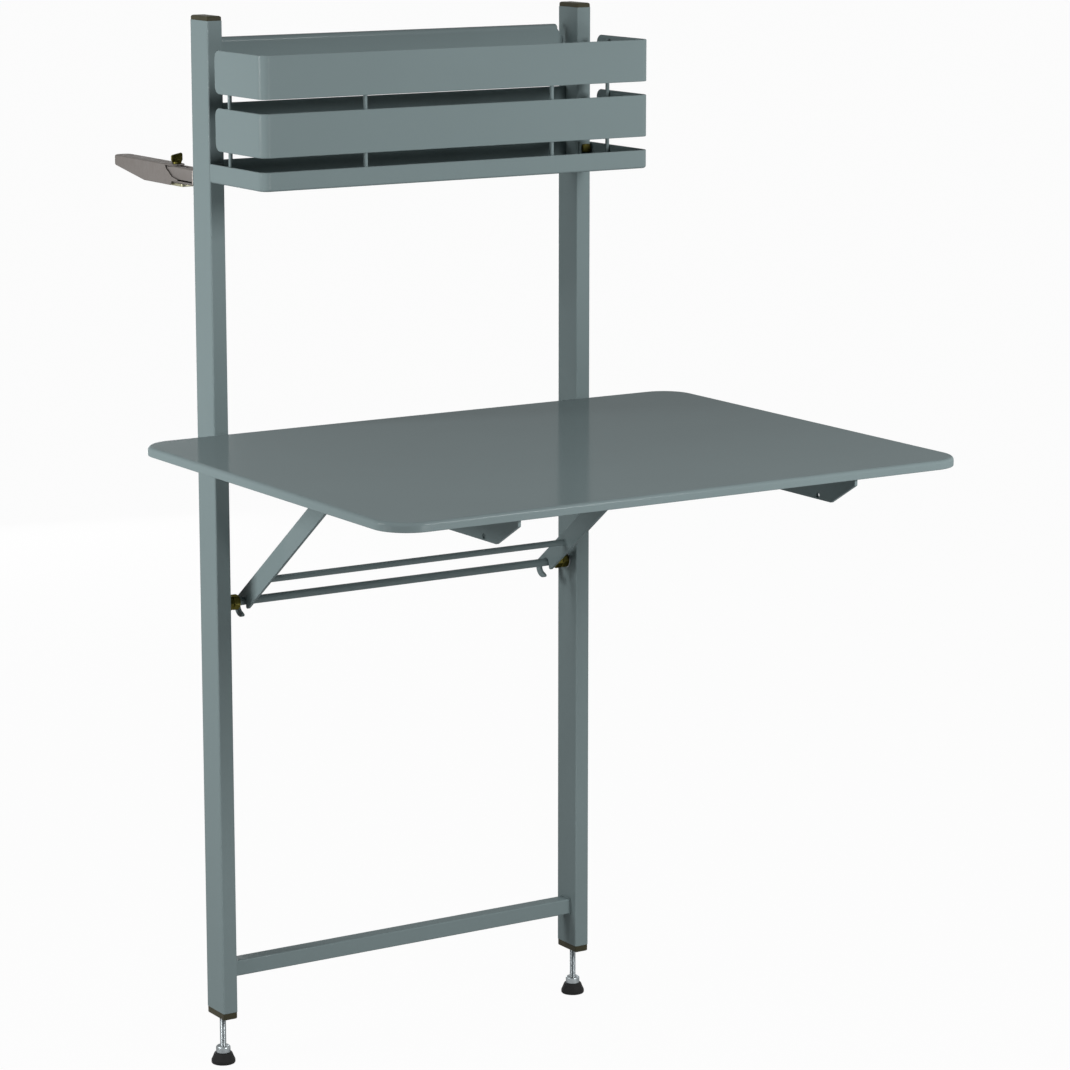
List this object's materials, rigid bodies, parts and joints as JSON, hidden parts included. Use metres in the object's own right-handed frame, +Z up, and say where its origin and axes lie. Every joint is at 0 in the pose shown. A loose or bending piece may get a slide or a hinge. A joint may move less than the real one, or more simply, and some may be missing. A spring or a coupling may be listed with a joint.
{
  "type": "balcony railing bar table",
  "caption": "Balcony table with a lifting top on two upright posts, a railed shelf above it and two brackets that hook over the railing.",
  "frame": {"origin": "on the floor, midway between the two feet, below the posts' centre lines", "axes": "+X from the left post to the right post as the user faces it, +Y towards the railing, +Z up"},
  "size_m": [0.77, 0.8785, 1.2975],
  "materials": {
    "paint": "satin grey-green powder coat",
    "dark_plastic": "satin dark olive-brown",
    "rubber": "matt black",
    "zinc": "bright zinc plating",
    "yellow_zinc": "yellow passivated zinc",
    "pale_yellow_zinc": "pale yellow zinc",
    "bracket_zinc": "dull zinc plating"
  },
  "bodies": {
    "frame": {"left_post": "paint", "right_post": "paint", "left_post_cap": "dark_plastic", "right_post_cap": "dark_plastic", "left_post_insert": "dark_plastic", "right_post_insert": "dark_plastic", "crossbar": "paint", "lower_rod": "paint", "lower_rod_nuts": "yellow_zinc", "lower_rod_washers": "zinc", "hinge_rod": "paint", "hinge_rod_nuts": "yellow_zinc", "hinge_rod_washers": "zinc", "hinge_spacers": "zinc", "shelf_tray": "paint", "shelf_middle_band": "paint", "shelf_upper_band": "paint", "shelf_spindles": "paint", "shelf_middle_strip": "paint", "shelf_top_strip": "paint", "shelf_bolts": "yellow_zinc", "left_bracket_arm": "bracket_zinc", "right_bracket_arm": "bracket_zinc"},
    "table": {"tabletop": "paint", "left_rail": "paint", "right_rail": "paint", "strut_pivot_bolts": "yellow_zinc", "strut_pivot_washers": "zinc", "strut_pivot_nuts": "yellow_zinc"},
    "strut_frame": {"left_strut": "paint", "right_strut": "paint", "tie_rod": "paint"},
    "left_foot": {"left_foot_pad": "rubber", "left_foot_collar": "zinc", "left_foot_stud": "zinc"},
    "right_foot": {"right_foot_pad": "rubber", "right_foot_collar": "zinc", "right_foot_stud": "zinc"},
    "left_hook": {"left_hook_channel": "bracket_zinc", "left_clamp_block": "pale_yellow_zinc"},
    "right_hook": {"right_hook_channel": "bracket_zinc", "right_clamp_block": "pale_yellow_zinc"},
    "left_wing": {"left_wing_screw": "yellow_zinc"},
    "right_wing": {"right_wing_screw": "yellow_zinc"}
  },
  "joints": [
    {"name": "table_lift", "type": "hinge", "parent": "frame", "child": "table", "pos_m": [0, 0, 0.77], "axis": [1, 0, 0], "range_deg": [-25, 0]},
    {"name": "strut_swing", "type": "hinge", "parent": "table", "child": "strut_frame", "pos_m": [0, -0.252, 0.778], "axis": [1, 0, 0], "range_deg": [0, 29]},
    {"name": "left_foot_screw", "type": "slide", "parent": "frame", "child": "left_foot", "axis": [0, 0, 1], "range_m": [-0.015, 0.03]},
    {"name": "left_hook_slide", "type": "slide", "parent": "frame", "child": "left_hook", "axis": [0, 1, 0], "range_m": [-0.03, 0.04]},
    {"name": "left_wing_turn", "type": "hinge", "parent": "left_hook", "child": "left_wing", "pos_m": [-0.26, 0.082, 1.115], "axis": [0, 0, 1], "continuous": true},
    {"name": "right_foot_screw", "type": "slide", "parent": "frame", "child": "right_foot", "axis": [0, 0, 1], "range_m": [-0.015, 0.03]},
    {"name": "right_hook_slide", "type": "slide", "parent": "frame", "child": "right_hook", "axis": [0, 1, 0], "range_m": [-0.03, 0.04]},
    {"name": "right_wing_turn", "type": "hinge", "parent": "right_hook", "child": "right_wing", "pos_m": [0.26, 0.082, 1.115], "axis": [0, 0, 1], "continuous": true}
  ],
  "couplings": [
    {"joint": "strut_swing", "follows": "table_lift", "ratio": -1.12}
  ]
}
